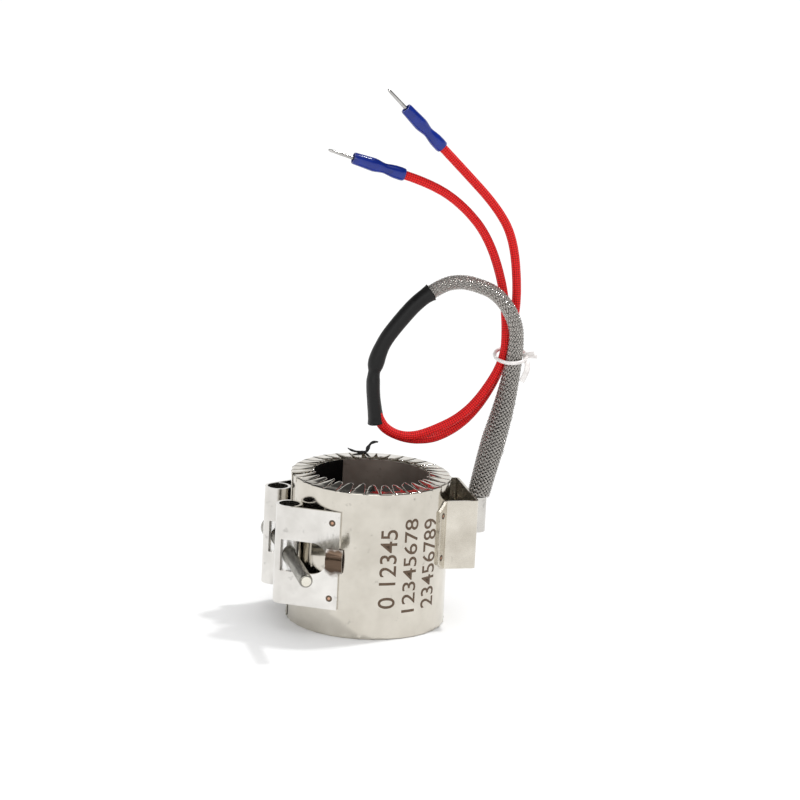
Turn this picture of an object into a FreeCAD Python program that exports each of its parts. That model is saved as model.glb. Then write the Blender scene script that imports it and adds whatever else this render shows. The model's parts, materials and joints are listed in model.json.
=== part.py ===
"""Split band heater for a 35 mm barrel, with screw clamp, terminal box and lead.

The bore's axis is Z and the band stands on z = 0. The split and its clamp face -X, the
terminal box faces +X. Millimetres and degrees.

Sheath      one stainless sheet, rolled to a split ring; both rims are folded in as tabs
Wall        liner, mica, wound ribbon core, mica and fibre blanket, as concentric layers
Clamp       two folded straps with rolled eyes, a barrel in each eye, one long cap screw
Terminals   folded box on the sheath, lead-out strips, crimps and a saddle for the lead
Lead        steel braid, shrink sleeve, two wires with blue crimp sleeves and pins
"""
import FreeCAD, Part
import math
import os
import re

import Sketcher
from FreeCAD import Placement, Rotation, Vector

# ---------------------------------------------------------------- driving sizes
SIZES = {
    # band
    "cut_margin": 0.4,
    "bore_radius": 17.5,
    "band_radius": 24.0,
    "band_height": 45.0,
    "liner_gauge": 0.4,
    "sheath_gauge": 0.45,
    "fold_radius": 0.8,
    "gap_half_angle": 3.25,
    "layer_setback": 1.2,
    "hem_gauge": 0.35,
    "hem_angle": 7.3,
    "hem_margin": 1.5,
    # tabs of the folded rims
    "tab_count": 34,
    "tab_slope": 7.0,
    "tab_tip_radius": 17.7,
    "notch_half_width": 0.62,
    "notch_depth": 0.75,
    "tip_round": 1.0,
    # layers inside the wall
    "layer_play": 0.02,
    "mica_gauge": 0.5,
    "core_gauge": 0.4,
    "ribbon_space": 0.3,
    "ribbon_play": 0.02,
    "strip_space": 0.3,
    "liner_margin": 0.51,
    "layer_margin": 1.8,
    "shield_start_angle": 107.5,
    "shield_lap_angle": 8.4,
    "seam_gap": 0.3,
    # wound ribbon
    "ribbon_turns": 14,
    "ribbon_angle": 8.0,
    "ribbon_reach": 160.0,
    "ribbon_band": 2.0,
    # clamp straps
    "strap_gauge": 0.8,
    "strap_height": 30.0,
    "clamp_level": 23.5,
    "strap_lean": 27.7,
    "strap_foot": 2.0,
    "eye_radius": 3.9,
    "eye_clearance": 0.3,
    "curl_end_angle": 132.0,
    "window_height": 9.6,
    "window_half_width": 2.7,
    "slot_end": 5.6,
    "rib_half_height": 3.6,
    "rib_rise": 0.9,
    "rib_overhang": 1.2,
    "rib_bite": 0.3,
    "weld_radius": 1.0,
    "weld_depth": 0.15,
    "weld_edge": 3.4,
    "weld_inset": 2.4,
    # barrels and clamp screw
    "barrel_play": 0.05,
    "barrel_length": 13.0,
    "screw_radius": 2.0,
    "screw_play": 0.04,
    "sink_radius": 2.9,
    "sink_depth": 0.75,
    "screw_reach": 40.0,
    "screw_tip_round": 0.8,
    "head_radius": 3.5,
    "head_height": 4.0,
    "head_chamfer": 0.3,
    "head_play": 0.05,
    "hex_across": 3.0,
    "hex_depth": 2.0,
    # terminal box
    "box_depth": 6.5,
    "box_half_width": 13.5,
    "box_gauge": 0.7,
    "box_bottom": 18.6,
    "box_height": 21.0,
    "box_corner": 1.3,
    "flange_angle": 9.6,
    "flange_chamfer": 2.6,
    "box_weld_margin": 4.0,
    "floor_gap": 0.3,
    # lead-out strips, crimps and tails
    "port_margin": 0.7,
    "strip_level": 30.0,
    "strip_half_width": 1.5,
    "strip_gauge": 0.26,
    "strip_start_angle": 21.0,
    "strip_sweep_angle": 138.0,
    "strip_offset": 8.5,
    "strip_lip": 0.9,
    "crimp_radius": 1.4,
    "crimp_length": 5.6,
    "crimp_overhang": 0.6,
    "tail_radius": 0.85,
    "tail_spacing": 1.0,
    "hole_radius": 2.4,
    # saddle of the lead
    "saddle_bore": 2.4,
    "saddle_gauge": 0.5,
    "saddle_rise": 5.6,
    "saddle_flange": 3.4,
    "saddle_bottom": 26.6,
    "saddle_top": 37.6,
    "rivet_radius": 0.9,
    "rivet_rise": 0.35,
    "rivet_inset": 2.6,
    # lead
    "braid_radius": 2.3,
    "shrink_radius": 2.3,
    "wire_radius": 1.35,
    "sleeve_length": 16.4,
    "sleeve_radius": 1.95,
    "sleeve_waist": 1.5,
    "sleeve_mouth": 1.25,
    "sleeve_mouth_depth": 1.6,
    "sleeve_collar_taper": 0.1,
    "sleeve_end_taper": 0.35,
    "sleeve_waist_place": 6.5,
    "sleeve_bulge_place": 9.0,
    "pin_radius": 0.55,
    "pin_tip_radius": 0.44,
    "pin_length": 9.6,
    "tie_radius": 0.55,
    "tie_half_width": 4.85,
    "tie_half_depth": 5.55,
    "tie_tail": 3.2,
    "tie_turn_angle": -13.0,
    "tie_lean_angle": 12.0,
}

# Routes of the lead's cords: control points, joined by tangent arcs.
BRAID_ROUTE = (
    (33.6, 0.0, 38.0), (36.0, 0.0, 49.5), (40.8, 0.8, 67.7), (42.8, 0.0, 83.4), (42.3, 0.0, 91.4),
    (36.3, 0.0, 100.2), (27.7, 0.0, 103.4), (23.1, 0.0, 103.7), (19.1, 0.0, 102.7), (15.6, 0.0, 100.5),
)
SHRINK_ROUTE = (
    (15.6, 0.0, 100.5), (12.1, 0.0, 98.3), (6.3, 0.2, 91.4), (1.5, 0.8, 84.4), (-0.6, 1.5, 75.9),
    (-0.1, 2.0, 67.3), (1.3, 2.0, 60.0),
)
WIRE_A_ROUTE = (
    (0.4, 0.6, 65.0), (2.2, 0.6, 60.5), (5.0, 0.6, 57.8), (8.9, 0.6, 56.2), (13.5, 0.6, 56.2),
    (19.0, 0.6, 58.1), (26.4, 0.9, 61.6), (32.9, 1.6, 67.6), (39.9, 2.7, 78.8), (40.4, 4.1, 88.8),
    (38.9, 5.2, 101.8), (33.6, 5.5, 116.2), (25.5, 5.0, 125.6), (15.6, 4.5, 132.2), (6.6, 4.5, 135.0),
)
WIRE_B_ROUTE = (
    (0.4, 3.4, 65.0), (2.1, 3.4, 60.1), (4.8, 3.4, 57.1), (9.8, 3.4, 54.9), (14.6, 3.4, 54.2),
    (20.5, 3.4, 54.8), (28.1, 3.9, 58.9), (34.4, 4.6, 65.9), (39.9, 5.4, 76.3), (43.0, 5.8, 89.1),
    (43.7, 6.0, 100.0), (41.5, 6.0, 115.8), (35.8, 6.0, 125.3), (25.2, 6.0, 136.1), (18.1, 6.0, 143.1),
)
TIE_CENTRE = Vector(41.7, 2.3, 80.6)

doc = FreeCAD.newDocument("BandHeater")
sheet = doc.addObject("Spreadsheet::Sheet", "Sizes")
for row, (alias, number) in enumerate(SIZES.items(), start=1):
    sheet.set(f"A{row}", alias)
    sheet.set(f"B{row}", str(number))
    sheet.setAlias(f"B{row}", alias)
doc.recompute()

parts = {}


# ---------------------------------------------------------------- helpers
def bound(text):
    """The formula with each size's name pointed at the sheet."""
    return re.sub(r"[a-z]+(?:_[a-z]+)+", lambda name: f"Sizes.{name.group(0)}", text)


def value(text):
    """The formula's present value."""
    result = sheet.evalExpression(bound(text))
    return float(getattr(result, "Value", result))


def link(item, prop, text):
    """Bind one property to a formula of the sheet's sizes."""
    item.setExpression(prop, bound(text))


def place(item, x="0", y="0", z="0", turn="0", axis="0; 0; 1"):
    """Bind an object's place: a point and a turn about an axis."""
    text = f"placement(vector({x}; {y}; {z}); rotation(vector({axis}); {turn}))"
    link(item, "Placement", text)
    return item


def keep(name, item):
    """Name an object as one finished piece."""
    item.Label = name
    parts[name] = item
    return item


def make_box(name, length, width, height, **where):
    box = doc.addObject("Part::Box", name)
    link(box, "Length", length)
    link(box, "Width", width)
    link(box, "Height", height)
    return place(box, **where)


def make_cylinder(name, radius, height, sweep="360", **where):
    cylinder = doc.addObject("Part::Cylinder", name)
    link(cylinder, "Radius", radius)
    link(cylinder, "Height", height)
    link(cylinder, "Angle", sweep)
    return place(cylinder, **where)


def cut(name, base, tool):
    result = doc.addObject("Part::Cut", name)
    result.Base = base
    result.Tool = tool
    return result


def fuse(name, pieces):
    result = doc.addObject("Part::MultiFuse", name)
    result.Shapes = pieces
    return result


def ring_sector(name, inner, outer, low, tall, start="0", sweep="360"):
    """A curved plate: part of a tube between two radii, turned to its start angle."""
    solid = make_cylinder(name + "_outer", outer, tall, sweep, z=low, turn=start)
    core = make_cylinder(name + "_inner", inner, f"{tall} + 2 * cut_margin", z=f"{low} - cut_margin")
    return cut(name, solid, core)


def new_body(name):
    return doc.addObject("PartDesign::Body", name + "_body")


def new_sketch(body, name, plane="XY_Plane", lift="0"):
    """A sketch on one of the body's own origin planes, lifted along the plane's normal."""
    sketch = body.newObject("Sketcher::SketchObject", name)
    origin_plane = [item for item in body.Origin.OriginFeatures if item.Role == plane][0]
    sketch.AttachmentSupport = [(origin_plane, "")]
    sketch.MapMode = "FlatFace"
    link(sketch, "AttachmentOffset.Base.z", lift)
    return sketch


def pin_point(sketch, index, position, point):
    """Hold one end of a sketch edge at two formulas, measured from the sketch's origin."""
    for kind, text in zip(("DistanceX", "DistanceY"), point):
        rule = sketch.addConstraint(
            Sketcher.Constraint(kind, -1, 1, index, position, value(text)))
        rule_name = f"{kind}{index}"
        sketch.renameConstraint(rule, rule_name)
        link(sketch, f"Constraints.{rule_name}", text)


def arc_between(start, end, radius, turn, major):
    """An arc from start to end: turn 1 runs left, -1 right; major takes the long way."""
    chord = end - start
    mid = (start + end) / 2
    height = math.sqrt(max(radius ** 2 - (chord.Length / 2) ** 2, 0.0))
    side = turn * (-1 if major else 1)
    centre = mid + Vector(-chord.y, chord.x, 0).normalize() * height * side
    first, last = (start, end) if turn > 0 else (end, start)
    low = math.atan2(first.y - centre.y, first.x - centre.x)
    high = math.atan2(last.y - centre.y, last.x - centre.x)
    if high <= low:
        high += 2 * math.pi
    return Part.ArcOfCircle(Part.Circle(centre, Vector(0, 0, 1), radius), low, high)


def add_outline(sketch, corners):
    """A closed outline. Each corner is (u, v), or (u, v, radius, turn, major) where the edge
    that leaves it is an arc."""
    points = [Vector(value(corner[0]), value(corner[1]), 0) for corner in corners]
    ends = []
    for number, corner in enumerate(corners):
        start = points[number]
        end = points[(number + 1) % len(points)]
        if len(corner) == 2:
            index = sketch.addGeometry(Part.LineSegment(start, end), False)
            ends.append((index, 1, 2))
            continue
        _, _, radius, turn, major = corner
        index = sketch.addGeometry(arc_between(start, end, value(radius), turn, major), False)
        ends.append((index, 1, 2) if turn > 0 else (index, 2, 1))
        rule = sketch.addConstraint(Sketcher.Constraint("Radius", index, value(radius)))
        sketch.renameConstraint(rule, f"Radius{index}")
        link(sketch, f"Constraints.Radius{index}", radius)
    for number, corner in enumerate(corners):
        index, lead, trail = ends[number]
        following = ends[(number + 1) % len(ends)]
        sketch.addConstraint(Sketcher.Constraint(
            "Coincident", index, trail, following[0], following[1]))
        pin_point(sketch, index, lead, corner[:2])


def add_circle(sketch, u, v, radius):
    circle = Part.Circle(Vector(value(u), value(v), 0), Vector(0, 0, 1), value(radius))
    index = sketch.addGeometry(circle, False)
    rule = sketch.addConstraint(Sketcher.Constraint("Radius", index, value(radius)))
    sketch.renameConstraint(rule, f"Radius{index}")
    link(sketch, f"Constraints.Radius{index}", radius)
    pin_point(sketch, index, 3, (u, v))


def pad(body, sketch, length, backwards=False):
    feature = body.newObject("PartDesign::Pad", sketch.Name + "_pad")
    feature.Profile = sketch
    feature.Reversed = backwards
    link(feature, "Length", length)
    return feature


def pocket(body, sketch, length, backwards=False):
    feature = body.newObject("PartDesign::Pocket", sketch.Name + "_pocket")
    feature.Profile = sketch
    feature.Reversed = backwards
    link(feature, "Length", length)
    return feature


def revolve(body, sketch, kind="PartDesign::Revolution", axis="V_Axis"):
    feature = body.newObject(kind, sketch.Name + "_turned")
    feature.Profile = sketch
    feature.ReferenceAxis = (sketch, [axis])
    feature.Angle = 360
    return feature


def rectangle(left, right, low, high):
    return [(left, low), (right, low), (right, high), (left, high)]


# ---------------------------------------------------------------- band: outer sheath
def tab_surface(radius):
    """Height of the upper tabs' outer face at a radius."""
    return f"band_height - (({radius}) - tab_tip_radius) * tan(tab_slope)"


def make_outer_sheath():
    """Split ring whose rims are folded in over the wall and notched into tabs."""
    body = new_body("outer_sheath")
    inside = "(band_radius - sheath_gauge)"
    skin = "sheath_gauge / cos(tab_slope)"
    upper = [("tab_tip_radius", "band_height"), ("band_radius", tab_surface("band_radius"))]
    inner = [(inside, f"{tab_surface(inside)} - {skin}"), ("tab_tip_radius", f"band_height - {skin}")]
    mirrored = [(radius, f"band_height - ({level})") for radius, level in upper + inner]
    profile = new_sketch(body, "sheath_profile", "XZ_Plane")
    add_outline(profile, upper + mirrored[1::-1] + mirrored[3:1:-1] + inner)
    ring = body.newObject("PartDesign::Revolution", "sheath_ring")
    ring.Profile = profile
    ring.ReferenceAxis = (profile, ["V_Axis"])
    ring.Midplane = True
    link(ring, "Angle", "360 - 2 * gap_half_angle")
    doc.recompute()

    rims = [f"Edge{number}" for number, edge in enumerate(ring.Shape.Edges, start=1)
            if is_rim(edge, value("band_radius"))]
    bend = body.newObject("PartDesign::Fillet", "rim_bend")
    bend.Base = (ring, rims)
    link(bend, "Radius", "fold_radius")

    hems = new_sketch(body, "split_hems", lift="hem_margin")
    for side in (1, -1):
        near = f"(180 + {side} * gap_half_angle)"
        far = f"(180 + {side} * (gap_half_angle + hem_angle))"
        radii = (inside, "(band_radius + hem_gauge)")
        add_outline(hems, [
            (f"{radii[0]} * cos({near})", f"{radii[0]} * sin({near})"),
            (f"{radii[1]} * cos({near})", f"{radii[1]} * sin({near})", radii[1], side, False),
            (f"{radii[1]} * cos({far})", f"{radii[1]} * sin({far})"),
            (f"{radii[0]} * cos({far})", f"{radii[0]} * sin({far})", radii[0], -side, False),
        ])
    pad(body, hems, "band_height - 2 * hem_margin")

    cuts = [make_notch(body, "upper_notch", "band_height - notch_depth - tab_drop", True),
            make_notch(body, "lower_notch", "notch_depth + tab_drop", False)]
    rims_cut = body.newObject("PartDesign::PolarPattern", "tab_notches")
    rims_cut.Originals = cuts
    z_axis = [item for item in body.Origin.OriginFeatures if item.Role == "Z_Axis"][0]
    rims_cut.Axis = (z_axis, [""])
    rims_cut.Angle = 360
    link(rims_cut, "Occurrences", "tab_count")
    body.Tip = rims_cut

    ports = new_sketch(body, "strip_ports", "YZ_Plane", lift="bore_radius")
    for side in (1, -1):
        add_outline(ports, rectangle(
            f"{side} * strip_offset - {PORT_HALF}", f"{side} * strip_offset + {PORT_HALF}",
            f"strip_level - {PORT_HALF}", f"strip_level + {PORT_HALF}"))
    pocket(body, ports, "band_radius", backwards=True)
    return keep("outer_sheath", body)


def is_rim(edge, radius):
    """True for the two circular outer edges of the sheath."""
    curve = edge.Curve
    return curve.TypeId == "Part::GeomCircle" and abs(curve.Radius - radius) < 1e-6


def make_notch(body, name, level, upper):
    """V notch between two tabs, opening towards the bore, with the tab tips' round corners."""
    sketch = new_sketch(body, name, lift=level.replace("tab_drop", TAB_DROP))
    apex = "(band_radius + cut_margin)"
    shoulder = "(tab_tip_radius + tip_round)"
    pitch_half = "(180 / tab_count)"
    tip = "(tab_tip_radius - cut_margin)"
    add_outline(sketch, [
        (apex, "0"),
        (shoulder, "notch_half_width", "tip_round", -1, False),
        (f"{tip} + cut_margin / 2", f"{tip} * tan({pitch_half})"),
        (tip, f"{tip} * tan({pitch_half})"),
        (tip, f"-{tip} * tan({pitch_half})"),
        (f"{tip} + cut_margin / 2", f"-{tip} * tan({pitch_half})", "tip_round", -1, False),
        (shoulder, "-notch_half_width"),
    ])
    return pocket(body, sketch, "notch_depth + 4 * fold_radius", backwards=upper)


PORT_HALF = "(strip_half_width + port_margin)"
TAB_DROP = "((band_radius - tab_tip_radius) * tan(tab_slope))"


# ---------------------------------------------------------------- band: layers of the wall
LINER_OUT = "(bore_radius + liner_gauge)"
MICA_IN = f"({LINER_OUT} + layer_play)"
RIBBON_IN = f"({MICA_IN} + mica_gauge)"
CORE_IN = f"({RIBBON_IN} + ribbon_space)"
CORE_OUT = f"({CORE_IN} + core_gauge)"
RIBBON_OUT = f"({CORE_OUT} + ribbon_space)"
MICA_OUT = f"({RIBBON_OUT} + mica_gauge)"
BLANKET_IN = f"({MICA_OUT} + strip_space)"
BLANKET_OUT = "(band_radius - sheath_gauge)"
LAYER_START = "(layer_setback + gap_half_angle - 180)"
LAYER_SWEEP = "(360 - 2 * (layer_setback + gap_half_angle))"
LAYER_TALL = "(band_height - 2 * layer_margin)"


def make_layer(name, inner, outer):
    """One layer of the wall, open at the split."""
    return ring_sector(name, inner, outer, "layer_margin", LAYER_TALL, LAYER_START, LAYER_SWEEP)


def make_wall():
    tall = "(band_height - 2 * liner_margin)"
    liner_start = "(shield_lap_angle + seam_gap - 180)"
    keep("inner_sheath", ring_sector(
        "inner_sheath", "bore_radius", LINER_OUT, "liner_margin", tall,
        liner_start, f"shield_start_angle - seam_gap - {liner_start}"))
    keep("gap_shield", ring_sector(
        "gap_shield", "bore_radius", LINER_OUT, "liner_margin", tall,
        "shield_start_angle", "180 + shield_lap_angle - shield_start_angle"))
    keep("inner_mica", make_layer("inner_mica", MICA_IN, RIBBON_IN))
    keep("heating_core", ring_sector(
        "heating_core", CORE_IN, CORE_OUT, "layer_margin + ribbon_space",
        f"{LAYER_TALL} - 2 * ribbon_space", LAYER_START, LAYER_SWEEP))
    keep("outer_mica", make_layer("outer_mica", RIBBON_OUT, MICA_OUT))
    blanket = make_layer("blanket_ring", BLANKET_IN, BLANKET_OUT)
    ports = [make_box("blanket_port", "band_radius", f"2 * {PORT_HALF}", f"2 * {PORT_HALF}",
                      x="0", y=f"{side} * strip_offset - {PORT_HALF}",
                      z=f"strip_level - {PORT_HALF}") for side in (1, -1)]
    keep("insulation_blanket", cut("insulation_blanket", blanket, fuse("blanket_ports", ports)))


def curved_plate(inner, outer, low, high, start, sweep):
    """Plain solid of a curved plate, for the ribbon's windings."""
    tall = high - low
    outer_part = Part.makeCylinder(outer, tall, Vector(0, 0, low), Vector(0, 0, 1), sweep)
    inner_part = Part.makeCylinder(inner, tall, Vector(0, 0, low), Vector(0, 0, 1), sweep)
    plate = outer_part.cut(inner_part)
    plate.rotate(Vector(), Vector(0, 0, 1), start)
    return plate


def make_heating_ribbon():
    """Flat ribbon wound round the core: an inner leg, then an outer leg half a pitch on."""
    play = value("ribbon_play")
    inner = (value(RIBBON_IN) + play, value(CORE_IN) - play)
    outer = (value(CORE_OUT) + play, value(RIBBON_OUT) - play)
    low = value("layer_margin") + play
    high = value("band_height") - low
    core_low = value("layer_margin + ribbon_space") - play
    core_high = value("band_height") - core_low
    width = value("ribbon_angle")
    band = value("ribbon_band")
    turns = int(value("ribbon_turns"))
    pitch = 2 * value("ribbon_reach") / turns
    plates = []
    for turn in range(turns):
        start = -value("ribbon_reach") + turn * pitch
        half = start + pitch / 2
        plates.append(curved_plate(*inner, low, high, start, width))
        plates.append(curved_plate(inner[0], outer[1], core_high, high, start, width))
        plates.append(curved_plate(*outer, high - band, high, start, pitch / 2 + width))
        plates.append(curved_plate(*outer, low, high, half, width))
        if turn < turns - 1:
            plates.append(curved_plate(*outer, low, low + band, half, pitch / 2 + width))
            plates.append(curved_plate(inner[0], outer[1], low, core_low, start + pitch, width))
    ribbon = doc.addObject("Part::Feature", "heating_ribbon")
    ribbon.Shape = plates[0].multiFuse(plates[1:]).removeSplitter()
    keep("heating_ribbon", ribbon)


# ---------------------------------------------------------------- clamp
EYE_OUT = "(band_radius + strap_gauge - eye_radius)"
EYE_ALONG = f"sqrt((band_radius + eye_radius + eye_clearance)^2 - {EYE_OUT}^2)"
EYE_X = f"(-{EYE_OUT} * sin(strap_lean) - {EYE_ALONG} * cos(strap_lean))"
EYE_Y = f"({EYE_OUT} * cos(strap_lean) - {EYE_ALONG} * sin(strap_lean))"
STRAP_LOW = "(clamp_level - strap_height / 2)"
WINDOW_LOW = "(clamp_level - window_height / 2)"


def make_bracket(name, side):
    """Strap rolled into an open eye at one end. Drawn with x along the plate towards the eye
    and y out from the band (side 1) or mirrored (side -1), then turned onto the sheath."""
    body = new_body(name)
    place(body, turn=f"{side} * (180 - strap_lean)")
    outer_face = "(band_radius + strap_gauge)"
    curl = "(eye_radius - strap_gauge)"
    curl_x = f"{EYE_ALONG} + {{}} * cos(curl_end_angle)"
    curl_y = f"{side} * ({EYE_OUT} + {{}} * sin(curl_end_angle))"
    strap = new_sketch(body, name + "_strap", lift=STRAP_LOW)
    add_outline(strap, [
        ("strap_foot", f"{side} * {outer_face}"),
        (EYE_ALONG, f"{side} * {outer_face}", "eye_radius", -side, True),
        (curl_x.format("eye_radius"), curl_y.format("eye_radius")),
        (curl_x.format(curl), curl_y.format(curl), curl, side, True),
        (EYE_ALONG, f"{side} * band_radius"),
        ("strap_foot", f"{side} * band_radius"),
    ])
    pad(body, strap, "strap_height")

    rib_pull = "(strap_foot - rib_overhang)"
    rib_run = f"slot_end + rib_bite - {rib_pull}"
    rib = new_sketch(body, name + "_rib", "YZ_Plane", lift=rib_pull)
    add_outline(rib, rib_section(side, outer_face, "strap_gauge / 2", "rib_half_height"))
    pad(body, rib, rib_run)
    hollow = new_sketch(body, name + "_rib_hollow", "YZ_Plane", lift=rib_pull)
    add_outline(hollow, rib_section(side, "band_radius", "strap_gauge / 2",
                                    "(rib_half_height - strap_gauge / 2)"))
    pocket(body, hollow, rib_run, backwards=True)

    window = new_sketch(body, name + "_window", lift=WINDOW_LOW)
    across = ("window_half_width * cos(strap_lean)", "window_half_width * sin(strap_lean)")
    along = ("-2 * eye_radius * sin(strap_lean)", "2 * eye_radius * cos(strap_lean)")
    add_outline(window, [
        (f"{EYE_ALONG} + {i} * {across[0]} + {j} * {along[0]}",
         f"{side} * ({EYE_OUT} + {i} * {across[1]} + {j} * {along[1]})")
        for i, j in ((1, 1), (-1, 1), (-1, -1), (1, -1))])
    pocket(body, window, "window_height", backwards=True)

    slot = new_sketch(body, name + "_slot", lift=WINDOW_LOW)
    add_outline(slot, rectangle("slot_end + window_height / 2", EYE_ALONG,
                                f"{side} * (band_radius - strap_gauge)",
                                f"{side} * ({outer_face} + strap_gauge)"))
    pocket(body, slot, "window_height", backwards=True)
    slot_round = new_sketch(body, name + "_slot_round", "XZ_Plane",
                            lift=f"{-side} * (band_radius - strap_gauge)")
    add_circle(slot_round, "slot_end + window_height / 2", "clamp_level", "window_height / 2")
    pocket(body, slot_round, "3 * strap_gauge", backwards=side < 0)

    welds = new_sketch(body, name + "_welds", "XZ_Plane",
                       lift=f"{-side} * ({outer_face} - weld_depth)")
    for level in (f"{STRAP_LOW} + weld_edge", f"{STRAP_LOW} + strap_height - weld_edge"):
        add_circle(welds, "strap_foot + weld_inset", level, "weld_radius")
    pocket(body, welds, "strap_gauge", backwards=side < 0)
    return keep(name, body)


def rib_section(side, face, depth, half_height):
    """Shallow round section that stands out of a flat face, its root sunk into the sheet."""
    radius = f"(({half_height})^2 + rib_rise^2) / (2 * rib_rise)"
    low = f"clamp_level - {half_height}"
    high = f"clamp_level + {half_height}"
    return [(f"{side} * ({face} - {depth})", low), (f"{side} * {face}", low, radius, side, False),
            (f"{side} * {face}", high), (f"{side} * ({face} - {depth})", high)]


def make_barrel(name, side):
    """Round cross pin in an eye, drilled for the screw and sunk at both mouths."""
    body = new_body(name)
    place(body, EYE_X, f"{side} * {EYE_Y}", "clamp_level - barrel_length / 2")
    radius = "(eye_radius - strap_gauge - barrel_play)"
    disc = new_sketch(body, name + "_disc")
    add_circle(disc, "0", "0", radius)
    pad(body, disc, "barrel_length")
    hole = "(screw_radius + screw_play)"
    mid = "barrel_length / 2"
    profile = new_sketch(body, name + "_hole", "XY_Plane", lift=mid)
    add_outline(profile, [
        ("0", f"-{radius} - cut_margin"), ("sink_radius", f"-{radius} - cut_margin"),
        ("sink_radius", f"-{radius}"),
        (hole, f"sink_depth - {radius}"), (hole, f"{radius} - sink_depth"),
        ("sink_radius", radius), ("sink_radius", f"{radius} + cut_margin"),
        ("0", f"{radius} + cut_margin"),
    ])
    revolve(body, profile, "PartDesign::Groove")
    return keep(name, body)


def make_clamp_screw():
    """Long cap screw: its head bears on the back barrel, its tip stands out in front."""
    body = new_body("clamp_screw")
    place(body, EYE_X, "0", "clamp_level")
    seat = f"({EYE_Y} + eye_radius - strap_gauge - barrel_play + head_play)"
    profile = new_sketch(body, "screw_profile")
    add_outline(profile, [
        ("0", "-screw_reach"),
        ("screw_radius - screw_tip_round", "-screw_reach", "screw_tip_round", 1, False),
        ("screw_radius", "screw_tip_round - screw_reach"),
        ("screw_radius", seat), ("head_radius", seat),
        ("head_radius", f"{seat} + head_height - head_chamfer"),
        ("head_radius - head_chamfer", f"{seat} + head_height"),
        ("0", f"{seat} + head_height"),
    ])
    revolve(body, profile)
    socket = new_sketch(body, "hex_socket", "XZ_Plane", lift=f"-({seat} + head_height)")
    corner = "(hex_across / 2 / cos(30))"
    add_outline(socket, [(f"{corner} * cos({60 * step})", f"{corner} * sin({60 * step})")
                         for step in range(6)])
    pocket(body, socket, "hex_depth", backwards=True)
    return keep("clamp_screw", body)


# ---------------------------------------------------------------- terminal box
BOX_REACH = "(band_radius + box_depth)"
TERMINAL_X = "(band_radius + (box_depth - box_gauge) / 2)"
STRIP_IN = f"({MICA_OUT} + ribbon_play)"
CRIMP_LEVEL = "(strip_level + strip_gauge + crimp_radius)"


def make_terminal_box():
    """Folded sheet: outer wall, two sides, flanges that follow the sheath, a floor flap."""
    body = new_body("terminal_box")
    seat = "(band_radius + layer_play)"
    skin = f"({seat} + box_gauge)"
    inner_width = "(box_half_width - box_gauge)"
    inner_reach = f"({BOX_REACH} - box_gauge)"
    inner_corner = "(box_corner - box_gauge)"
    flange_end = "(asin(box_half_width / band_radius) / 1deg + flange_angle)"

    def half(side):
        """Corners of one half, from the flange's inner root out and round to the outer wall."""
        return [
            (f"sqrt({seat}^2 - {inner_width}^2)", f"{side} * {inner_width}", seat, side, False),
            (f"{seat} * cos({flange_end})", f"{side} * {seat} * sin({flange_end})"),
            (f"{skin} * cos({flange_end})", f"{side} * {skin} * sin({flange_end})",
             skin, -side, False),
            (f"sqrt({skin}^2 - box_half_width^2)", f"{side} * box_half_width"),
            (f"{BOX_REACH} - box_corner", f"{side} * box_half_width", "box_corner", -side, False),
            (BOX_REACH, f"{side} * (box_half_width - box_corner)"),
        ]

    plan = new_sketch(body, "box_plan", lift="box_bottom")
    right_side = half(1)
    left_side = half(-1)
    inside = [
        (f"{inner_reach} - {inner_corner}", f"-{inner_width}", inner_corner, 1, False),
        (inner_reach, f"{inner_corner} - {inner_width}"),
        (inner_reach, f"{inner_width} - {inner_corner}", inner_corner, 1, False),
        (f"{inner_reach} - {inner_corner}", inner_width),
    ]
    add_outline(plan, right_side + reverse_corners(left_side) + inside)
    pad(body, plan, "box_height")

    floor = new_sketch(body, "box_floor", lift="box_bottom")
    floor_seat = "(band_radius + floor_gap)"
    add_outline(floor, [
        (f"sqrt({floor_seat}^2 - {inner_width}^2)", f"-{inner_width}"),
        (inner_reach, f"-{inner_width}"), (inner_reach, inner_width),
        (f"sqrt({floor_seat}^2 - {inner_width}^2)", inner_width, floor_seat, -1, False),
    ])
    pad(body, floor, "box_gauge")

    chamfers = new_sketch(body, "flange_chamfers", "YZ_Plane")
    flange_tip = f"({skin} * sin({flange_end}) + cut_margin / 4)"
    for side in (1, -1):
        for level, inward in (("box_bottom", 1), ("(box_bottom + box_height)", -1)):
            beyond = f"{level} - {inward} * cut_margin / 4"
            add_outline(chamfers, [
                (f"{side} * (box_half_width + cut_margin / 4)", beyond), (f"{side} * {flange_tip}", beyond),
                (f"{side} * {flange_tip}", f"{level} + {inward} * flange_chamfer")])
    pocket(body, chamfers, f"{BOX_REACH} - box_corner", backwards=True)

    hole = new_sketch(body, "tail_hole", "YZ_Plane", lift=f"{inner_reach} - box_gauge")
    add_circle(hole, "0", CRIMP_LEVEL, "hole_radius")
    pocket(body, hole, "3 * box_gauge", backwards=True)

    dimples = []
    for side in (1, -1):
        for level in ("box_bottom + box_weld_margin", "box_bottom + box_height - box_weld_margin"):
            turn = f"{side} * ({flange_end} - flange_angle / 2)"
            dimples.append(make_cylinder(
                "flange_weld", "weld_radius", "2 * box_gauge",
                x=f"({skin} - weld_depth) * cos({turn})", y=f"({skin} - weld_depth) * sin({turn})",
                z=level, turn="90", axis=f"-sin({turn}); cos({turn}); 0"))
    return keep("terminal_box", cut("terminal_box", body, fuse("flange_welds", dimples)))


def reverse_corners(corners):
    """The same chain walked the other way; arcs move to the corner that now starts them."""
    walked = []
    for number in range(len(corners) - 1, -1, -1):
        corner = corners[number]
        before = corners[number - 1] if number else None
        if before is not None and len(before) == 5:
            walked.append((corner[0], corner[1], before[2], -before[3], before[4]))
        else:
            walked.append((corner[0], corner[1]))
    return walked


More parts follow.
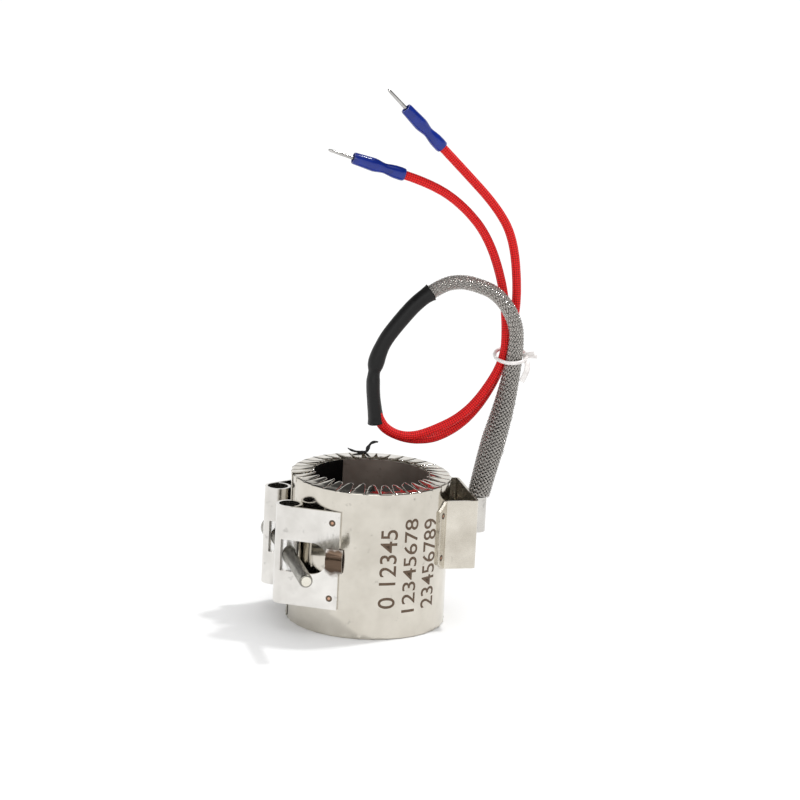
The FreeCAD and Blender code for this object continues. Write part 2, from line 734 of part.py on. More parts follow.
def make_lead_saddle():
    """Strap bent over the lead's inner wires, welded flat to the box's outer wall."""
    body = new_body("lead_saddle")
    crown = f"({BOX_REACH} + saddle_rise)"
    outer = "(saddle_bore + saddle_gauge)"
    foot = f"({BOX_REACH} + saddle_gauge)"
    wing = f"({outer} + saddle_flange)"
    plan = new_sketch(body, "saddle_plan", lift="saddle_bottom")
    add_outline(plan, [
        (BOX_REACH, f"-{wing}"), (foot, f"-{wing}"), (foot, f"-{outer}"),
        (f"{crown} - {outer}", f"-{outer}", outer, 1, False), (crown, "0", outer, 1, False),
        (f"{crown} - {outer}", outer), (foot, outer), (foot, wing), (BOX_REACH, wing),
        (BOX_REACH, "saddle_bore"),
        (f"{crown} - {outer}", "saddle_bore", "saddle_bore", -1, False),
        (f"{crown} - saddle_gauge", "0", "saddle_bore", -1, False),
        (f"{crown} - {outer}", "-saddle_bore"), (BOX_REACH, "-saddle_bore"),
    ])
    pad(body, plan, "saddle_top - saddle_bottom")
    keep("lead_saddle", body)

    heads = []
    for side in (1, -1):
        for level in ("saddle_bottom + rivet_inset", "saddle_top - rivet_inset"):
            heads.append(make_cylinder(
                "saddle_rivet", "rivet_radius", "rivet_rise", x=foot,
                y=f"{side} * ({outer} + saddle_flange / 2)", z=level, turn="90", axis="0; 1; 0"))
    keep("saddle_rivets", fuse("saddle_rivets", heads))


def make_terminal(letter, side):
    """Lead-out strip along the outer mica and out through its port, with its crimp and wire."""
    low = "strip_level - strip_half_width"
    near = f"{side} * strip_offset - strip_half_width"
    run = ring_sector(f"strip_run_{letter}", STRIP_IN, f"({STRIP_IN} + strip_gauge)", low,
                      "2 * strip_half_width",
                      "strip_start_angle" if side > 0 else "-strip_start_angle - strip_sweep_angle",
                      "strip_sweep_angle")
    leg = make_box(f"strip_leg_{letter}", f"{TERMINAL_X} + strip_lip", "2 * strip_half_width",
                   "strip_gauge", y=near, z="strip_level")
    hollow = make_cylinder(f"strip_root_{letter}", STRIP_IN, "band_height")
    keep(f"terminal_strip_{letter}",
         fuse(f"terminal_strip_{letter}", [run, cut(f"strip_end_{letter}", leg, hollow)]))
    keep(f"splice_crimp_{letter}", make_cylinder(
        f"splice_crimp_{letter}", "crimp_radius", "crimp_length", x=TERMINAL_X, z=CRIMP_LEVEL,
        y=f"{side} * (strip_offset + strip_half_width + crimp_overhang)",
        turn=f"{side} * 90", axis="1; 0; 0"))
    crimp_x = value(TERMINAL_X)
    crimp_end = value("strip_offset + strip_half_width + crimp_overhang - crimp_length")
    level = value(CRIMP_LEVEL)
    apart = side * value("tail_spacing")
    inside = value(f"{BOX_REACH} + saddle_rise - saddle_gauge - saddle_bore")
    make_tube(f"wire_tail_{letter}", (
        (crimp_x, side * crimp_end, level), (crimp_x, apart, level),
        (inside, apart, level), (inside, apart, value("saddle_top"))), value("tail_radius"))


# ---------------------------------------------------------------- lead
def make_tube(name, route, radius):
    """Round cord along a route: straight runs joined by tangent arcs."""
    points = [Vector(*point) for point in route]
    edges = []
    radii = []
    start = points[0]
    for before, corner, after in zip(points, points[1:], points[2:]):
        back = (before - corner).normalize()
        ahead = (after - corner).normalize()
        setback = 0.45 * min((before - corner).Length, (after - corner).Length)
        half_turn = (math.pi - back.getAngle(ahead)) / 2
        enter = corner + back * setback
        leave = corner + ahead * setback
        bend_radius = setback / math.tan(half_turn)
        radii.append(bend_radius)
        middle = corner + (back + ahead).normalize() * bend_radius * (1 / math.cos(half_turn) - 1)
        edges.append(Part.LineSegment(start, enter).toShape())
        edges.append(Part.Arc(enter, middle, leave).toShape())
        start = leave
    edges.append(Part.LineSegment(start, points[-1]).toShape())
    path = Part.Wire(edges)
    section = Part.Wire(Part.Circle(points[0], points[1] - points[0], radius).toShape())
    tube = doc.addObject("Part::Feature", name)
    tube.Shape = path.makePipeShell([section], True, False)
    print(f"{name}: length {path.Length:.1f}, least bend {min(radii):.1f}, "
          f"fill {tube.Shape.Volume / (math.pi * radius ** 2 * path.Length):.3f}")
    return keep(name, tube)


def aim_along(body, start, end):
    """Set a turned piece's axis from one point towards another."""
    body.Placement = Placement(Vector(*start), Rotation(Vector(0, 0, 1), Vector(*end) - Vector(*start)))


def make_wire_end(letter, route):
    """Blue crimp sleeve on a wire's end, waisted where it is pressed, and its pin."""
    tip = Vector(*route[-1])
    beyond = tip + (tip - Vector(*route[-2]))
    body = new_body(f"blue_sleeve_{letter}")
    profile = new_sketch(body, f"sleeve_profile_{letter}", "XZ_Plane")
    collar = "(sleeve_radius - sleeve_collar_taper)"
    add_outline(profile, [
        ("0", "0"), (collar, "0", "4 * sleeve_length", 1, False),
        (collar, "sleeve_waist_place / 2", "sleeve_length", 1, False),
        ("sleeve_waist", "sleeve_waist_place", "sleeve_length", 1, False),
        ("sleeve_radius", "sleeve_bulge_place", "1.4 * sleeve_length", 1, False),
        ("sleeve_radius - sleeve_end_taper", "sleeve_length"), ("sleeve_mouth", "sleeve_length"),
        ("sleeve_mouth", "sleeve_length - sleeve_mouth_depth"),
        ("0", "sleeve_length - sleeve_mouth_depth"),
    ])
    revolve(body, profile)
    aim_along(body, tip, beyond)
    keep(f"blue_sleeve_{letter}", body)

    pin = doc.addObject("Part::Cone", f"pin_{letter}")
    link(pin, "Radius1", "pin_radius")
    link(pin, "Radius2", "pin_tip_radius")
    link(pin, "Height", "pin_length")
    seat = tip + (beyond - tip).normalize() * value("sleeve_length - sleeve_mouth_depth")
    aim_along(pin, seat, seat + (beyond - tip))
    keep(f"pin_{letter}", pin)


def make_cable_tie():
    """Tie round the braid and the two wires: an oval loop with a short tail, leaned forward."""
    half_width = value("tie_half_width")
    half_depth = value("tie_half_depth")
    gauge = value("tie_radius")
    loop = Part.Ellipse(Vector(0, half_depth, 0), Vector(-half_width, 0, 0), Vector()).toShape()
    start = Vector(0, half_depth, 0)
    section = Part.Wire(Part.Circle(start, Vector(1, 0, 0), gauge).toShape())
    ring = Part.Wire(loop).makePipeShell([section], True, False)
    tail = Part.makeCylinder(gauge, value("tie_tail"), Vector(half_width, 0, 0), Vector(1, 0, 0))
    tie = doc.addObject("Part::Feature", "cable_tie")
    tie.Shape = ring.fuse(tail)
    turn = Rotation(Vector(0, 0, 1), value("tie_turn_angle"))
    tie.Placement = Placement(TIE_CENTRE, turn * Rotation(Vector(1, 0, 0), value("tie_lean_angle")))
    keep("cable_tie", tie)


def make_lead():
    make_tube("lead_braid", BRAID_ROUTE, value("braid_radius"))
    make_tube("heat_shrink", SHRINK_ROUTE, value("shrink_radius"))
    make_tube("red_wire_a", WIRE_A_ROUTE, value("wire_radius"))
    make_tube("red_wire_b", WIRE_B_ROUTE, value("wire_radius"))
    make_wire_end("a", WIRE_A_ROUTE)
    make_wire_end("b", WIRE_B_ROUTE)
    make_cable_tie()


# ---------------------------------------------------------------- build and write
make_outer_sheath()
make_wall()
make_heating_ribbon()
make_bracket("front_bracket", 1)
make_bracket("back_bracket", -1)
make_barrel("front_barrel_nut", -1)
make_barrel("back_barrel", 1)
make_clamp_screw()
make_terminal_box()
make_lead_saddle()
make_terminal("a", 1)
make_terminal("b", -1)
make_lead()
doc.recompute()

failed = [item.Name for item in doc.Objects if {"Invalid", "Error"} & set(item.State)]
if failed:
    raise RuntimeError(f"objects failed: {failed}")
for name, item in parts.items():
    if item.Shape.isNull() or not item.Shape.isValid():
        raise RuntimeError(f"{name} has no valid shape")

os.makedirs("parts", exist_ok=True)
for name, item in parts.items():
    item.Shape.exportStep(f"parts/{name}.step")
    print(f"{name}: {item.Shape.Volume:.1f} mm3, {len(item.Shape.Solids)} solid(s)")
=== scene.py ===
# %% [markdown]
# # A split band heater
#
# This lesson dresses a band heater for a 35 mm barrel: a polished sheet-steel ring with
# folded, serrated rims, a screw clamp, a small terminal box and a lead of woven steel,
# black shrink sleeve and two red wires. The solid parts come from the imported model, in
# metres, and give every new piece its place. New pieces are modelled with bmesh operators.

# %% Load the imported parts
import bmesh
import bpy
import json
import math
import random
from mathutils import Matrix, Vector

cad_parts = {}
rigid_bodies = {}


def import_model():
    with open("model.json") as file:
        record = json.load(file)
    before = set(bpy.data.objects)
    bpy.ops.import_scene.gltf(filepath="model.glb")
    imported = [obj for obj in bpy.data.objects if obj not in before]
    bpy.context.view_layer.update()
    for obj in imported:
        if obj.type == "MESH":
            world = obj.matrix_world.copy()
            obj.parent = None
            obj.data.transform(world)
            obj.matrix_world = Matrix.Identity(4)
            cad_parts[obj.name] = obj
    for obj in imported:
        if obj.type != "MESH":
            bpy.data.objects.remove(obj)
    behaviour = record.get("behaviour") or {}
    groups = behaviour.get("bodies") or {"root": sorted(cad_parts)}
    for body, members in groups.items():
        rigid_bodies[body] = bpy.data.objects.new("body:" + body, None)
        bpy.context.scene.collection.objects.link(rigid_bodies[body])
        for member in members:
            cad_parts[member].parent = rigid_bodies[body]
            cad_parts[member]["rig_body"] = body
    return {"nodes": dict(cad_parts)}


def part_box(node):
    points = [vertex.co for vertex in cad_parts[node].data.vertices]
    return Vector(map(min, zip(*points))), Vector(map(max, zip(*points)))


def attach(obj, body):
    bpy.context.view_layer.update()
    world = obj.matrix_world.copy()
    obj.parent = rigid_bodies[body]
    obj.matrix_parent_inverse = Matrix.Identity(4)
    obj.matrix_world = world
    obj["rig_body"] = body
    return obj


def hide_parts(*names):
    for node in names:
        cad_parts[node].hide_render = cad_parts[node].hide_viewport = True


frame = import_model()
scene = bpy.context.scene
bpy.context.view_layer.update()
MM = 0.001

# %% [markdown]
# ## The camera
#
# A long lens stands about a metre away and a little above, and is rolled by a few degrees.
# A camera looks along its own -Z, so three unit vectors (right, up and back) written as the
# columns of a matrix give its orientation directly, with no angle order to remember.

# %% Place the camera
CAMERA_PLACE = Vector((-0.207706, -0.936900, 0.303707))
CAMERA_AZIMUTH = math.radians(-12.9493)
CAMERA_HEIGHT = math.radians(13.8064)
CAMERA_ROLL = math.radians(2.90033)
CAMERA_LENS = 148.78


def camera_axes():
    back = Vector((math.sin(CAMERA_AZIMUTH) * math.cos(CAMERA_HEIGHT),
                   -math.cos(CAMERA_AZIMUTH) * math.cos(CAMERA_HEIGHT), math.sin(CAMERA_HEIGHT)))
    right = Vector((math.cos(CAMERA_AZIMUTH), math.sin(CAMERA_AZIMUTH), 0))
    up = back.cross(right)
    rolled_right = right * math.cos(CAMERA_ROLL) + up * math.sin(CAMERA_ROLL)
    rolled_up = up * math.cos(CAMERA_ROLL) - right * math.sin(CAMERA_ROLL)
    return Matrix((rolled_right, rolled_up, back)).transposed()


camera = bpy.data.objects.new("studio_camera", bpy.data.cameras.new("studio_camera"))
camera.data.lens = CAMERA_LENS
camera.data.sensor_width = 36
camera.matrix_world = Matrix.Translation(CAMERA_PLACE) @ camera_axes().to_4x4()
scene.collection.objects.link(camera)
scene.camera = camera
scene.view_settings.view_transform = "Standard"
print("camera at", tuple(round(c, 3) for c in CAMERA_PLACE))

# %% [markdown]
# ## Building node trees
#
# Every finish below is a small network of shader nodes. One helper adds a node, sets its
# numbers and makes its links, so that each finish can be read as a short recipe.


# %% A helper for shader nodes
def add_node(tree, kind, values=None, links=None, **settings):
    made = tree.nodes.new("ShaderNode" + kind)
    for key, setting in settings.items():
        setattr(made, key, setting)
    for socket, number in (values or {}).items():
        made.inputs[socket].default_value = number
    for socket, source in (links or {}).items():
        tree.links.new(source, made.inputs[socket])
    return made


def seen_directly(tree):
    """1 for rays from the camera, from polished metal and through glass."""
    path = add_node(tree, "LightPath")
    mirror = add_node(tree, "Math", links={0: path.outputs["Is Glossy Ray"],
                                           1: path.outputs["Is Transmission Ray"]}, operation="MAXIMUM")
    both = add_node(tree, "Math", links={0: path.outputs["Is Camera Ray"], 1: mirror.outputs[0]},
                    operation="MAXIMUM")
    return both.outputs[0]


# %% [markdown]
# ## Studio light
#
# Polished steel shows the room more than itself, so the room matters. The backdrop is
# white near the horizon and the ceiling is dark, which gives the folded rims their dark
# lines. Soft light comes from a low panel in front and a wide one overhead,
# and a small bright lamp high on the right, a little behind, draws the floor shadows.

# %% Room, lamps and floor
ROOM_LIGHT = 0.66
MAIN_LIGHT_FROM = Vector((0.42, 0.14, 0.8))
room = bpy.data.worlds.new("room")
room.use_nodes = True
scene.world = room
tree = room.node_tree
tree.nodes.clear()
height = add_node(tree, "SeparateXYZ", links={0: add_node(tree, "TexCoord").outputs["Generated"]})
shade = add_node(tree, "MapRange", {"From Min": 0.3, "From Max": 0.52, "To Min": 1.0, "To Max": 0.06},
                 {"Value": height.outputs["Z"]}, interpolation_type="SMOOTHSTEP")
shown = add_node(tree, "Background", {"Color": (1, 1, 1, 1)}, {"Strength": shade.outputs[0]})
lit = add_node(tree, "Background", {"Color": (1, 1, 1, 1), "Strength": ROOM_LIGHT})
mixed = add_node(tree, "MixShader", links={0: seen_directly(tree), 1: lit.outputs[0], 2: shown.outputs[0]})
add_node(tree, "OutputWorld", links={"Surface": mixed.outputs[0]})


def soft_panel(name, azimuth, height, distance, wide, tall, radiance):
    """A rectangular lamp that faces the band; its power follows from how bright it looks."""
    a, e = math.radians(azimuth), math.radians(height)
    back = Vector((math.sin(a) * math.cos(e), -math.cos(a) * math.cos(e), math.sin(e)))
    lamp = bpy.data.lights.new(name, "AREA")
    lamp.shape = "RECTANGLE"
    lamp.size, lamp.size_y = wide, tall
    lamp.energy = radiance * math.pi * wide * tall
    panel = bpy.data.objects.new(name, lamp)
    panel.matrix_world = (Matrix.Translation(back * distance + Vector((0, 0, 0.04)))
                          @ back.to_track_quat("Z", "Y").to_matrix().to_4x4())
    scene.collection.objects.link(panel)


soft_panel("front_panel", -22, 24, 1.3, 1.1, 0.6, 1.6)
soft_panel("top_panel", 30, 82, 1.1, 0.8, 0.8, 0.8)
main_light = bpy.data.objects.new("main_light", bpy.data.lights.new("main_light", "SUN"))
main_light.data.energy = 1.5
main_light.data.angle = math.radians(5)
main_light.matrix_world = MAIN_LIGHT_FROM.to_track_quat("Z", "Y").to_matrix().to_4x4()
scene.collection.objects.link(main_light)

FLOOR_REACH = 3.0
floor_paint = bpy.data.materials.new("floor_paint")
floor_paint.use_nodes = True
tree = floor_paint.node_tree
paint = tree.nodes["Principled BSDF"]
paint.inputs["Base Color"].default_value = (0.95, 0.95, 0.95, 1)
paint.inputs["Roughness"].default_value = 0.7
glow = add_node(tree, "Emission", {"Color": (1, 1, 1, 1), "Strength": 1.05})
floor_place = add_node(tree, "TexCoord").outputs["Object"]
away = add_node(tree, "VectorMath", links={0: floor_place}, operation="LENGTH")
# The floor's glow fades out within a few centimetres of the band's axis, so the floor round its foot stays
# darker than the rest. This is painted shade round the foot, added to the lamps' own shadows.
far = add_node(tree, "MapRange", {"From Min": 0.022, "From Max": 0.075, "To Min": 0.0, "To Max": 0.66},
               {"Value": away.outputs["Value"]})
glow_with_painted_shade = add_node(tree, "Math", links={0: seen_directly(tree), 1: far.outputs[0]}, operation="MULTIPLY")
whole = add_node(tree, "MixShader", links={0: glow_with_painted_shade.outputs[0], 1: paint.outputs[0], 2: glow.outputs[0]})
tree.links.new(whole.outputs[0], tree.nodes["Material Output"].inputs["Surface"])
bm = bmesh.new()
bmesh.ops.create_grid(bm, x_segments=1, y_segments=1, size=FLOOR_REACH)
floor_mesh = bpy.data.meshes.new("studio_floor")
bm.to_mesh(floor_mesh)
bm.free()
floor_mesh.materials.append(floor_paint)
studio_floor = bpy.data.objects.new("studio_floor", floor_mesh)
scene.collection.objects.link(studio_floor)
print("floor and lamps ready")

# %% [markdown]
# ## Finishes
#
# Most of the heater is sheet steel. One recipe covers its kinds: two colours mixed by a
# stretched noise (rolling marks follow one direction), a roughness that wanders with a
# finer noise, and a faint bump so that reflections are never perfectly still.


# %% Steel, plastic and cloth recipes
def rgba(colour):
    return (*colour, 1.0)


def object_noise(tree, stretch, size, detail=4.0):
    """Noise laid over the piece in object space; size is its scale in features per metre."""
    place = add_node(tree, "Mapping", {"Scale": stretch},
                     {"Vector": add_node(tree, "TexCoord").outputs["Object"]})
    return add_node(tree, "TexNoise", {"Scale": size, "Detail": detail, "Roughness": 0.6},
                    {"Vector": place.outputs[0]}).outputs[0]


def blend_colours(tree, factor, low, high, start=0.3, end=0.7):
    spread = add_node(tree, "MapRange", {"From Min": start, "From Max": end}, {"Value": factor})
    mix = add_node(tree, "Mix", {6: rgba(low), 7: rgba(high)}, {0: spread.outputs[0]}, data_type="RGBA")
    return mix.outputs[2]


def new_finish(name, metallic=0.0, roughness=0.5):
    material = bpy.data.materials.new(name)
    material.use_nodes = True
    shader = material.node_tree.nodes["Principled BSDF"]
    shader.inputs["Metallic"].default_value = metallic
    shader.inputs["Roughness"].default_value = roughness
    return material, material.node_tree, shader


def principled(material):
    return material.node_tree.nodes["Principled BSDF"]


def vary_roughness(tree, shader, noise, low, high):
    spread = add_node(tree, "MapRange", {"From Min": 0.3, "From Max": 0.7, "To Min": low, "To Max": high},
                      {"Value": noise})
    tree.links.new(spread.outputs[0], shader.inputs["Roughness"])


def raise_bump(tree, shader, height, distance, strength=1.0):
    bump = add_node(tree, "Bump", {"Strength": strength, "Distance": distance * MM}, {"Height": height})
    tree.links.new(bump.outputs[0], shader.inputs["Normal"])


def steel(name, low, high, roughness, stretch=(1, 1, 8), grain=900, wave=0.01):
    material, tree, shader = new_finish(name, metallic=1.0)
    marks = object_noise(tree, stretch, grain)
    clouds = object_noise(tree, (1, 1, 1), 90, 3.0)
    stains = add_node(tree, "MapRange", {"From Min": 0.62, "From Max": 0.74, "To Min": 0.0, "To Max": 0.55},
                      {"Value": object_noise(tree, (1, 1, 1), 330, 6.0)})
    stained = add_node(tree, "Mix", {7: rgba([part * 0.45 for part in low])},
                       {0: stains.outputs[0], 6: blend_colours(tree, clouds, low, high)}, data_type="RGBA")
    tree.links.new(stained.outputs[2], shader.inputs["Base Color"])
    vary_roughness(tree, shader, marks, *roughness)
    raise_bump(tree, shader, marks, wave)
    return material


HEAT_CENTRE = (0.0146, 0.0208, 0.0235)


def strap_finish():
    """Bright strap, browned by the weld heat round its rib; both straps mirror each other."""
    material = steel("strap_steel", (0.64, 0.62, 0.585), (0.82, 0.8, 0.765), (0.09, 0.22),
                     (8, 8, 1), 300, 0.008)
    tree = material.node_tree
    shader = principled(material)
    bright = shader.inputs["Base Color"].links[0].from_socket
    mirrored = add_node(tree, "VectorMath", links={0: add_node(tree, "TexCoord").outputs["Object"]},
                        operation="ABSOLUTE")
    away = add_node(tree, "VectorMath", {1: HEAT_CENTRE}, {0: mirrored.outputs[0]},
                    operation="DISTANCE")
    ragged = add_node(tree, "Math", {1: 0.004},
                      {0: object_noise(tree, (1, 1, 1), 500), 2: away.outputs["Value"]},
                      operation="MULTIPLY_ADD")
    heat = add_node(tree, "MapRange", {"From Min": 0.0052, "From Max": 0.0072, "To Min": 1.0, "To Max": 0.0},
                    {"Value": ragged.outputs[0]})
    tinted = add_node(tree, "Mix", {7: rgba((0.12, 0.082, 0.058))},
                      {0: heat.outputs[0], 6: bright}, data_type="RGBA")
    tree.links.new(tinted.outputs[2], shader.inputs["Base Color"])
    return material


strap_steel = strap_finish()
sheath_steel = steel("sheath_steel", (0.57, 0.535, 0.47), (0.69, 0.655, 0.585), (0.06, 0.15),
                     grain=260, wave=0.006)
box_steel = steel("box_steel", (0.56, 0.52, 0.45), (0.74, 0.7, 0.62), (0.2, 0.34), (1, 1, 14), 700, 0.012)
saddle_steel = steel("saddle_steel", (0.55, 0.53, 0.5), (0.68, 0.66, 0.62), (0.2, 0.34))
liner_steel = steel("liner_steel", (0.2, 0.16, 0.135), (0.31, 0.26, 0.225), (0.3, 0.42), (1, 1, 6), 400)
principled(liner_steel).inputs["Metallic"].default_value = 0.55
shield_steel = steel("shield_steel", (0.006, 0.006, 0.006), (0.016, 0.015, 0.014), (0.5, 0.6))
barrel_steel = steel("barrel_steel", (0.82, 0.81, 0.79), (0.92, 0.91, 0.89), (0.3, 0.45), (1, 1, 10), 500)
ribbon_steel = steel("ribbon_steel", (0.22, 0.21, 0.2), (0.34, 0.33, 0.31), (0.3, 0.45))
plated_steel = steel("plated_steel", (0.42, 0.37, 0.3), (0.58, 0.54, 0.46), (0.22, 0.36))
pin_steel = steel("pin_steel", (0.34, 0.33, 0.32), (0.6, 0.59, 0.57), (0.12, 0.25), (1, 1, 1), 500)


def dull(name, low, high, roughness, grain=500, wave=0.03):
    """A finish that isn't metal: two near colours, an even sheen and a soft grain."""
    material, tree, shader = new_finish(name)
    marks = object_noise(tree, (1, 1, 1), grain)
    tree.links.new(blend_colours(tree, marks, low, high), shader.inputs["Base Color"])
    vary_roughness(tree, shader, marks, *roughness)
    raise_bump(tree, shader, marks, wave)
    return material


mica_plate = dull("mica_plate", (0.5, 0.43, 0.32), (0.66, 0.59, 0.47), (0.35, 0.5))
fibre_blanket = dull("fibre_blanket", (0.66, 0.64, 0.57), (0.82, 0.8, 0.74), (0.85, 0.95), 1500, 0.1)
shrink_black = dull("shrink_black", (0.003, 0.003, 0.003), (0.007, 0.007, 0.007), (0.42, 0.54), 700, 0.02)
principled(shrink_black).inputs["Specular IOR Level"].default_value = 0.3
sleeve_blue = dull("sleeve_blue", (0.004, 0.016, 0.17), (0.007, 0.026, 0.26), (0.12, 0.2), 300, 0.01)
tie_white = dull("tie_white", (0.74, 0.7, 0.68), (0.9, 0.88, 0.86), (0.25, 0.4), 500, 0.02)
scrap_black = dull("scrap_black", (0.004, 0.004, 0.004), (0.012, 0.012, 0.012), (0.5, 0.7))
print("finishes:", len(bpy.data.materials))

# %% [markdown]
# ## Cords as smooth lines
#
# A lead is a fixed length of something flexible, so it is drawn as a NURBS curve through a
# few control points. The tube's rings, the braid's strands and the crimp sleeves all read
# their places from that one line. A frame that turns as little as possible (parallel
# transport) is carried along it, so that nothing twists at a bend.


# %% Read a smooth line and its frames
def smooth_line(name, route):
    curve = bpy.data.curves.new(name, "CURVE")
    curve.dimensions = "3D"
    curve.resolution_u = 24
    spline = curve.splines.new("NURBS")
    spline.points.add(len(route) - 1)
    for point, place in zip(spline.points, route):
        point.co = (*place, 1.0)
    spline.order_u = 3
    spline.use_endpoint_u = True
    holder = bpy.data.objects.new(name, curve)
    scene.collection.objects.link(holder)
    drawn = bpy.data.meshes.new_from_object(holder)
    line = [vertex.co.copy() for vertex in drawn.vertices]
    bpy.data.objects.remove(holder)
    bpy.data.meshes.remove(drawn)
    return line


def line_length(line):
    return sum((b - a).length for a, b in zip(line, line[1:]))


def frames_along(line, spacing):
    """Evenly spaced (place, side, up) along the line, and its length."""
    length = line_length(line)
    count = max(4, round(length / spacing))
    places, travelled, reach = [line[0]], 0.0, length / count
    for a, b in zip(line, line[1:]):
        step = (b - a).length
        while step > 0 and travelled + step >= reach * len(places) and len(places) < count:
            places.append(a.lerp(b, (reach * len(places) - travelled) / step))
        travelled += step
    places.append(line[-1])
    found, side = [], Vector((0, 1, 0))
    for number, place in enumerate(places):
        ahead = places[min(number + 1, count)] - places[max(number - 1, 0)]
        ahead.normalize()
        side = (side - ahead * side.dot(ahead)).normalized()
        found.append((place, side, ahead.cross(side)))
    return found, length


def from_table(table, distance):
    """Straight-line reading between the rows (distance, value) of a short table."""
    for (near, low), (far, high) in zip(table, table[1:]):
        if distance <= far:
            return low + (high - low) * max(0.0, distance - near) / (far - near)
    return table[-1][1]


# %% [markdown]
# ## From a grid to a tube
#
# `create_grid` also writes UVs. Rolling the grid round the line and merging its two long
# edges gives a tube whose UV runs in millimetres along and once round, which is what a
# woven or knitted pattern needs to stay in step with the cord.


# %% Roll tubes and keep pieces
def keep_piece(name, bm, finish, body="band", stands_for=(), sharp=40):
    mesh = bpy.data.meshes.new(name)
    bm.to_mesh(mesh)
    bm.free()
    mesh.shade_smooth()
    mesh.set_sharp_from_angle(angle=math.radians(sharp))
    mesh.materials.append(finish)
    piece = bpy.data.objects.new(name, mesh)
    scene.collection.objects.link(piece)
    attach(piece, body)
    if stands_for:
        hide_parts(*stands_for)
    print(name, len(mesh.polygons), "faces")
    return piece


def roll_tube(line, table, around=24, spacing=0.5 * MM, closed=True, oval=((0, 1), (1, 1))):
    """A tube along the line; the tables give its radius in mm and its oval at distances in mm."""
    frames, length = frames_along(line, spacing)
    last = len(frames) - 1
    bm = bmesh.new()
    uv = bm.loops.layers.uv.new("along")
    bmesh.ops.create_grid(bm, x_segments=last, y_segments=around, size=1, calc_uvs=True)
    for face in bm.faces:
        for loop in face.loops:
            loop[uv].uv = (loop[uv].uv.x * length / MM, loop[uv].uv.y)
    for vertex in bm.verts:
        number = round((vertex.co.x + 1) / 2 * last)
        turn = (vertex.co.y + 1) * math.pi
        place, side, up = frames[number]
        distance = length / MM * number / last
        radius = from_table(table, distance) * MM
        wide = from_table(oval, distance)
        vertex.co = place + (side * math.cos(turn) * wide + up * math.sin(turn)) * radius
    bmesh.ops.remove_doubles(bm, verts=bm.verts, dist=1e-7)
    if closed:
        rims = [edge for edge in bm.edges if edge.is_boundary]
        bmesh.ops.holes_fill(bm, edges=rims, sides=0)
    bmesh.ops.recalc_face_normals(bm, faces=bm.faces)
    return bm


# %% [markdown]
# ## The woven steel braid
#
# A real braid is two sets of flat wire bundles that wind in opposite directions and pass
# over and under each other. A bump map can't show the ragged outline or the dark gaps, so
# every bundle is a strip of its own: a grid laid along a helix, lifted over one crossing
# and sunk under the next. The braid swells where it is stuffed and thins at the tie.

# %% Weave the braid
BRAID_ROUTE = [
    (0.0336, 0.0, 0.038), (0.036, 0.0, 0.0495), (0.0408, 0.0008, 0.0677), (0.0428, 0.0, 0.0834),
    (0.0423, 0.0, 0.0914), (0.0363, 0.0, 0.1002), (0.0277, 0.0, 0.1034), (0.0231, 0.0, 0.1037),
    (0.0191, 0.0, 0.1027), (0.0156, 0.0, 0.1005)]
BRAID_RADII = [(0, 3.2), (11, 3.5), (17, 3.6), (23.5, 3.3), (29.5, 3.0), (35.5, 2.65), (43.5, 2.28),
               (50, 2.05), (90, 1.98)]
CARRIERS = 16
WIRE_TURN = 29.0
BUNDLE_WIDTH = 0.5
WEAVE_LIFT = 0.16


def braid_windings(frames, length):
    """Share of a turn wound at each frame. A wire's length per turn stays the same, so the
    braid's pitch grows where it is drawn thin."""
    wound, step = [0.0], length / MM / (len(frames) - 1)
    for number in range(1, len(frames)):
        radius = from_table(BRAID_RADII, step * number)
        wound.append(wound[-1] + step / math.sqrt(WIRE_TURN ** 2 - (2 * math.pi * radius) ** 2))
    return wound


def weave_bundle(bm, frames, length, windings, number, direction):
    """One bundle of wires: a strip along its helix, over and under at each crossing."""
    last = len(frames) - 1
    uv = bm.loops.layers.uv.active
    made = bmesh.ops.create_grid(bm, x_segments=last, y_segments=3, size=1, calc_uvs=True)["verts"]
    for vertex in made:
        step = round((vertex.co.x + 1) / 2 * last)
        distance = length / MM * step / last
        across = vertex.co.y
        radius = from_table(BRAID_RADII, distance)
        turn = 2 * math.pi * (direction * windings[step] + number / CARRIERS)
        lift = direction * WEAVE_LIFT * math.cos(2 * math.pi * CARRIERS * windings[step])
        slant = math.asin(2 * math.pi * radius / WIRE_TURN)
        turn += across * BUNDLE_WIDTH / 2 / radius / max(0.4, math.cos(slant))
        crown = 0.07 * (1 - across * across)
        place, side, up = frames[step]
        vertex.co = place + (side * math.cos(turn) + up * math.sin(turn)) * (radius + lift + crown) * MM


def braid_finish():
    """Bright wires with dark lines of painted shade between them; v of each strip runs across its wires."""
    material, tree, shader = new_finish("braid_wires", metallic=1.0)
    across = add_node(tree, "SeparateXYZ", links={0: add_node(tree, "UVMap", uv_map="along").outputs[0]})
    wires = add_node(tree, "Math", {1: 5 * math.pi}, {0: across.outputs["Y"]}, operation="MULTIPLY")
    ridge = add_node(tree, "Math", links={0: add_node(tree, "Math", links={0: wires.outputs[0]},
                     operation="SINE").outputs[0]}, operation="ABSOLUTE")
    # The colour follows the wires' rounded crests, so the hollows between them are painted dark: painted
    # shade.
    tint = blend_colours(tree, ridge.outputs[0], (0.17, 0.155, 0.14), (0.72, 0.69, 0.65), 0.05, 0.75)
    tree.links.new(tint, shader.inputs["Base Color"])
    vary_roughness(tree, shader, object_noise(tree, (1, 1, 1), 900), 0.12, 0.3)
    raise_bump(tree, shader, ridge.outputs[0], 0.06)
    return material


